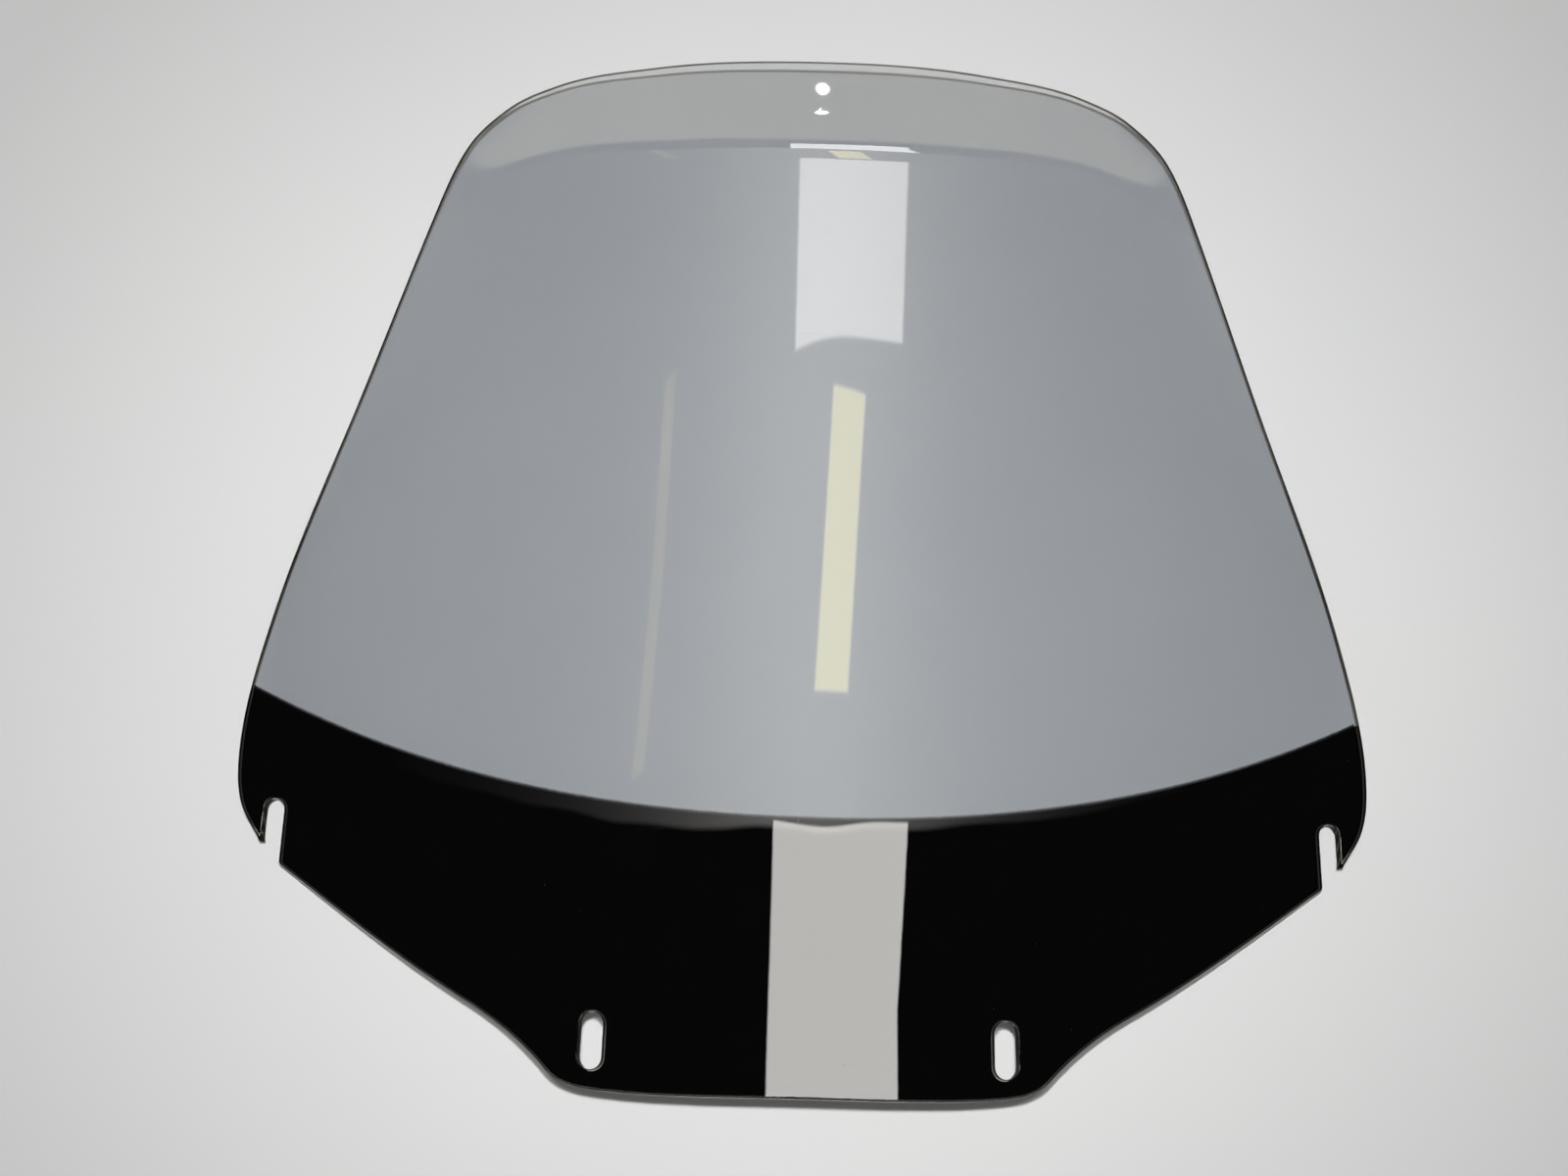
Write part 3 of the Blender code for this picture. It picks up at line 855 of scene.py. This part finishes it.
class LampShape(Tree):
    """Short calls for the node maths that shapes a lamp, with x and y in metres on the world's axes."""

    def __init__(self, obj):
        lamp = obj.data
        lamp.use_nodes = True
        super().__init__(lamp.node_tree)
        parts = self.add("ShaderNodeSeparateXYZ")
        self.feed(parts.inputs[0], self.add("ShaderNodeNewGeometry").outputs["Parametric"])
        left, bottom = obj.location.x - 0.5 * lamp.size, obj.location.y - 0.5 * lamp.size_y
        self.x = self.maths("MULTIPLY_ADD", parts.outputs["X"], lamp.size, left)
        self.y = self.maths("MULTIPLY_ADD", parts.outputs["Y"], lamp.size_y, bottom)

    def past(self, value, low, high):
        """0 below low, 1 above high and smooth between them; high may be the lower one."""
        node = self.add("ShaderNodeMapRange", interpolation_type="SMOOTHSTEP")
        self.set(node, Value=value, From_Min=low, From_Max=high)
        return node.outputs["Result"]

    def band(self, value, half, soft):
        """1 within half of zero, fading to 0 over the last soft of it."""
        return self.maths("SUBTRACT", 1.0, self.past(self.maths("ABSOLUTE", value), half - soft, half))

    def patch(self, across, level, half, soft):
        """A soft-edged rectangle."""
        return self.maths("MULTIPLY", self.band(across, half[0], soft[0]), self.band(level, half[1], soft[1]))

    def bell(self, *values):
        """1 where the values are all 0, falling away as a bell around that."""
        total = 0.0
        for value in values:
            total = self.maths("MULTIPLY_ADD", value, value, total)
        return self.maths("EXPONENT", self.maths("MULTIPLY", total, -1.0))

    def use(self, strength, colour=None):
        self.set(self.tree.nodes["Emission"], Strength=strength)
        if colour is not None:
            self.set(self.tree.nodes["Emission"], Color=colour)


def overhead(name, low, high, radiance, colour):
    """A shaped lamp that faces straight down and only shows as a reflection."""
    middle = ((low[0] + high[0]) / 2.0, (low[1] + high[1]) / 2.0)
    size = (high[0] - low[0], high[1] - low[1])
    return LampShape(softbox(name, (*middle, LAMP_HEIGHT), (*middle, 0.0), size, radiance, colour, "gloss"))


def key(camera):
    """A small lamp beside the camera, for crisp thin shadows."""
    place = camera.location + Vector(KEY_FROM_CAMERA)
    softbox("key", place, (0.0, 0.0, 0.0), KEY_SIZE, KEY_RADIANCE, lights="matt")


def sparkle():
    """The highlight on the lip."""
    obj = softbox("sparkle", SPARKLE_PLACE, SPARKLE_AIM, SPARKLE_SIZE, SPARKLE_RADIANCE, lights="gloss")
    shape = LampShape(obj)
    across = shape.maths("DIVIDE", shape.maths("SUBTRACT", shape.x, SPARKLE_PLACE[0]), SPARKLE_SPREAD[0])
    level = shape.maths("DIVIDE", shape.maths("SUBTRACT", shape.y, SPARKLE_PLACE[1]), SPARKLE_SPREAD[1])
    shape.use(shape.bell(across, level))


def side_lamps():
    """Four low softboxes around the table."""
    for name, x, y, radiance in SIDE_LAMPS:
        target = (x * SIDE_AIM, y * SIDE_AIM, 0.0)
        softbox("side_" + name, (x, y, SIDE_HEIGHT), target, SIDE_SIZE, radiance)


def lip_panel():
    """The even light that the lip mirrors."""
    shape = overhead("lip_panel", LIP_PANEL_LOW, LIP_PANEL_HIGH, LIP_PANEL_RADIANCE, CREAM)
    across = shape.band(shape.x, LIP_PANEL_HALF, LIP_PANEL_SOFT)
    shape.use(shape.maths("MULTIPLY", across, shape.past(shape.y, *LIP_PANEL_END)))


def glow(shape, bowed):
    """Soft light down the middle, from the band's edge up."""
    across = shape.maths("SUBTRACT", shape.x, GLOW_MIDDLE)
    bell = shape.bell(shape.maths("MULTIPLY", across, 1.0 / (math.sqrt(2.0) * GLOW_WIDTH)))
    return shape.maths("MULTIPLY", bell, shape.past(bowed, BAND_LINE, BAND_LINE + GLOW_SOFT))


def foot_panel(shape, bowed):
    """White panel that the black band mirrors, with a slanting right side."""
    beyond = shape.maths("MAXIMUM", shape.maths("SUBTRACT", shape.y, FOOT_LEAN_FROM), 0.0)
    right = shape.maths("MULTIPLY_ADD", beyond, FOOT_LEAN, shape.x)
    panel = shape.maths("MULTIPLY", shape.past(shape.x, *FOOT_LEFT), shape.past(right, *FOOT_RIGHT))
    start, end = (BAND_LINE + past for past in FOOT_PAST_BAND)
    return shape.maths("MULTIPLY", panel, shape.past(bowed, start, end))


def head_panel(shape, bowed):
    """White panel that the top of the sheet mirrors."""
    across = shape.maths("SUBTRACT", shape.x, HEAD_MIDDLE[0])
    level = shape.maths("MULTIPLY_ADD", across, HEAD_LEAN, bowed)
    level = shape.maths("SUBTRACT", level, HEAD_MIDDLE[1])
    return shape.patch(across, level, HEAD_HALF, HEAD_SOFT)


def leaning_patch(shape, height, middle, lean, half, soft):
    """A soft-edged rectangle whose sides lean."""
    level = shape.maths("SUBTRACT", height, middle[1])
    across = shape.maths("MULTIPLY_ADD", level, lean, shape.maths("SUBTRACT", shape.x, middle[0]))
    return shape.patch(across, level, half, soft)


def ceiling():
    """One wide lamp with the soft glow down the middle, a white panel at each end and two warm tubes."""
    shape = overhead("ceiling", CEILING_LOW, CEILING_HIGH, 1.0, WHITE)
    bowed = shape.maths("MULTIPLY_ADD", shape.maths("MULTIPLY", shape.x, shape.x), -BAND_CURVE, shape.y)
    tube = leaning_patch(shape, bowed, TUBE_MIDDLE, TUBE_LEAN, TUBE_HALF, TUBE_SOFT)
    thin = leaning_patch(shape, shape.y, THIN_MIDDLE, THIN_LEAN, THIN_HALF, THIN_SOFT)
    parts = (
        (glow(shape, bowed), GLOW_RADIANCE),
        (foot_panel(shape, bowed), FOOT_RADIANCE),
        (head_panel(shape, bowed), HEAD_RADIANCE),
        (tube, TUBE_RADIANCE),
        (thin, THIN_RADIANCE),
    )
    total = 0.0
    for part, radiance in parts:
        total = shape.maths("MULTIPLY_ADD", part, radiance, total)
    shape.use(total, shape.blend(shape.maths("ADD", tube, thin), COOL_LIGHT, WARM_LIGHT))


# ---- surroundings ------------------------------------------------------------------------------
WORLD_FADE, WORLD_STRENGTHS = (0.12, 0.45), (0.72, 0.025)


def studio():
    """Even light from the horizon that fades upwards."""
    world = bpy.data.worlds.new("studio")
    world.use_nodes = True
    n = Tree(world.node_tree)
    n.tree.nodes.clear()
    split = n.add("ShaderNodeSeparateXYZ")
    n.feed(split.inputs[0], n.add("ShaderNodeTexCoord").outputs["Generated"])
    strength = n.add("ShaderNodeMapRange", interpolation_type="SMOOTHSTEP")
    n.set(strength, Value=split.outputs["Z"], From_Min=WORLD_FADE[0], From_Max=WORLD_FADE[1],
          To_Min=WORLD_STRENGTHS[0], To_Max=WORLD_STRENGTHS[1])
    background = n.add("ShaderNodeBackground")
    n.set(background, Color=(*WHITE, 1.0), Strength=strength.outputs["Result"])
    n.set(n.add("ShaderNodeOutputWorld"), Surface=background.outputs[0])
    bpy.context.scene.world = world


key(make_camera())
sparkle()
side_lamps()
lip_panel()
ceiling()
studio()
bpy.context.scene.view_settings.view_transform = "Standard"
